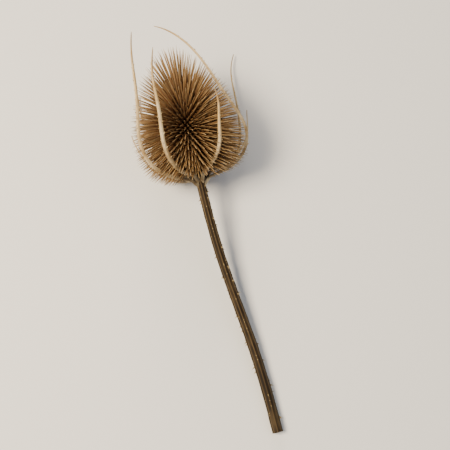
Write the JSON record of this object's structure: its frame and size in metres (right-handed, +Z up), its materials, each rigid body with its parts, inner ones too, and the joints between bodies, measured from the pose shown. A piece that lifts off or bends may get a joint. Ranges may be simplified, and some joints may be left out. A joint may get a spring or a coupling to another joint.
{
  "type": "teasel seed head",
  "caption": "Dried spiny ovoid teasel seed head with long upcurving prickly bracts on a short ribbed, prickly cut stem, lying on its side.",
  "frame": {"origin": "centre of the footprint, on the surface that the seed head lies on", "axes": "+Z up; +Y along the stem, from its cut end towards the head"},
  "size_m": [0.0678, 0.208, 0.0595],
  "materials": {
    "seed_head": "matte",
    "stem": "matte",
    "bract": "matte"
  },
  "bodies": {
    "root": {"seed_head": "seed_head", "stem": "stem", "bract_1": "bract", "bract_2": "bract", "bract_3": "bract", "bract_4": "bract", "bract_5": "bract", "bract_6": "bract", "bract_7": "bract", "bract_8": "bract", "bract_9": "bract"}
  },
  "joints": []
}
